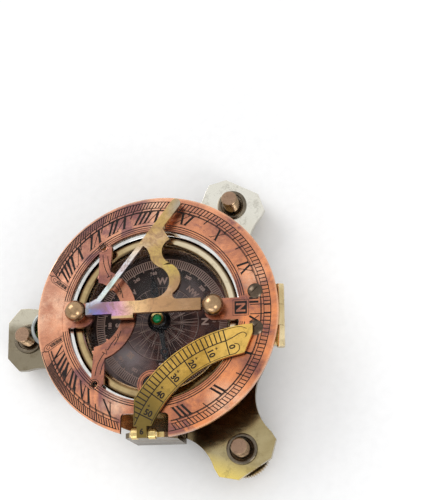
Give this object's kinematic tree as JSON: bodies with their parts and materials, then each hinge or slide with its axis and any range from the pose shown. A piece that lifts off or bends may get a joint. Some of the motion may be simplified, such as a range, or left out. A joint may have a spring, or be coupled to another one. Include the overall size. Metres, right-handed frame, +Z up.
{
  "type": "folding sundial with compass",
  "caption": "Folding sundial: tilting hour ring, fold-up gnomon and latitude arc over a round compass, on a lobed plate with levelling feet and a bull's-eye level.",
  "frame": {"origin": "centre of the outline on the table top, under the feet", "axes": "+X towards the north mark of the hour ring, +Y towards its west mark, +Z up"},
  "size_m": [0.1096, 0.114, 0.0412],
  "materials": {
    "plate_brass": "polished, slightly tarnished",
    "case_brass": "spun and polished",
    "ring_copper": "antiqued copper plating with engraved lines",
    "gnomon_brass": "heat coloured brass",
    "arc_brass": "satin antique brass",
    "bright_brass": "polished",
    "bronze": "dark antique bronze",
    "dark_steel": "darkened steel",
    "black_paint": "gloss black",
    "card_face": "dark etched copper",
    "level_body": "satin",
    "level_liquid": "clear lime liquid",
    "clear_glass": "clear",
    "green_stone": "cut green stone"
  },
  "bodies": {
    "base": {"base_plate": "plate_brass", "foot_bushes": "bronze", "compass_case": "case_brass", "plate_screws": "dark_steel", "compass_bowl": "black_paint", "compass_card": "card_face", "needle_pivot": "bright_brass", "spacer_ring": "bronze", "compass_glass": "clear_glass", "glass_bezel": "bright_brass", "ring_hinge_bracket": "plate_brass", "ring_hinge_pin": "dark_steel", "bracket_screws": "dark_steel", "arc_bracket": "plate_brass", "arc_hinge_pin": "dark_steel", "level_cup": "level_body", "level_fluid": "level_liquid", "level_glass": "clear_glass"},
    "hour_dial": {"hour_ring": "ring_copper", "ring_hinge_leaf": "plate_brass", "ring_screws": "dark_steel", "gnomon_posts": "bronze", "eye_disc": "black_paint"},
    "gnomon_body": {"gnomon": "gnomon_brass", "gnomon_pivots": "dark_steel"},
    "latitude_scale": {"latitude_arc": "arc_brass"},
    "compass_needle": {"needle_blade": "black_paint", "needle_hub": "black_paint", "jewel_collar": "bright_brass", "jewel": "green_stone"},
    "foot_nw": {"foot_screw_nw": "bronze", "thumb_wheel_nw": "bright_brass"},
    "foot_s": {"foot_screw_s": "bronze", "thumb_wheel_s": "bright_brass"},
    "foot_ne": {"foot_screw_ne": "bronze", "thumb_wheel_ne": "bright_brass"}
  },
  "joints": [
    {"name": "ring_tilt", "type": "hinge", "parent": "base", "child": "hour_dial", "pos_m": [0.0528, -0.00087, 0.0303], "axis": [0, 1, 0], "range_deg": [0, 60]},
    {"name": "arc_fold", "type": "hinge", "parent": "base", "child": "latitude_scale", "pos_m": [0.0077, -0.04307, 0.03265], "axis": [1, 0, 0], "range_deg": [0, 90]},
    {"name": "gnomon_fold", "type": "hinge", "parent": "hour_dial", "child": "gnomon_body", "pos_m": [0.0077, 0.00033, 0.0374], "axis": [1, 0, 0], "range_deg": [-3.5, 90]},
    {"name": "needle_spin", "type": "hinge", "parent": "base", "child": "compass_needle", "pos_m": [0.0077, -0.00087, 0.0245], "axis": [0, 0, 1], "continuous": true},
    {"name": "foot_nw_screw", "type": "slide", "parent": "base", "child": "foot_nw", "axis": [0, 0, 1], "range_m": [-0.004, 0.0018]},
    {"name": "foot_s_screw", "type": "slide", "parent": "base", "child": "foot_s", "axis": [0, 0, 1], "range_m": [-0.004, 0.0018]},
    {"name": "foot_ne_screw", "type": "slide", "parent": "base", "child": "foot_ne", "axis": [0, 0, 1], "range_m": [-0.004, 0.0018]}
  ],
  "couplings": [
    {"joint": "ring_tilt", "follows": "arc_fold", "ratio": 0.18}
  ]
}
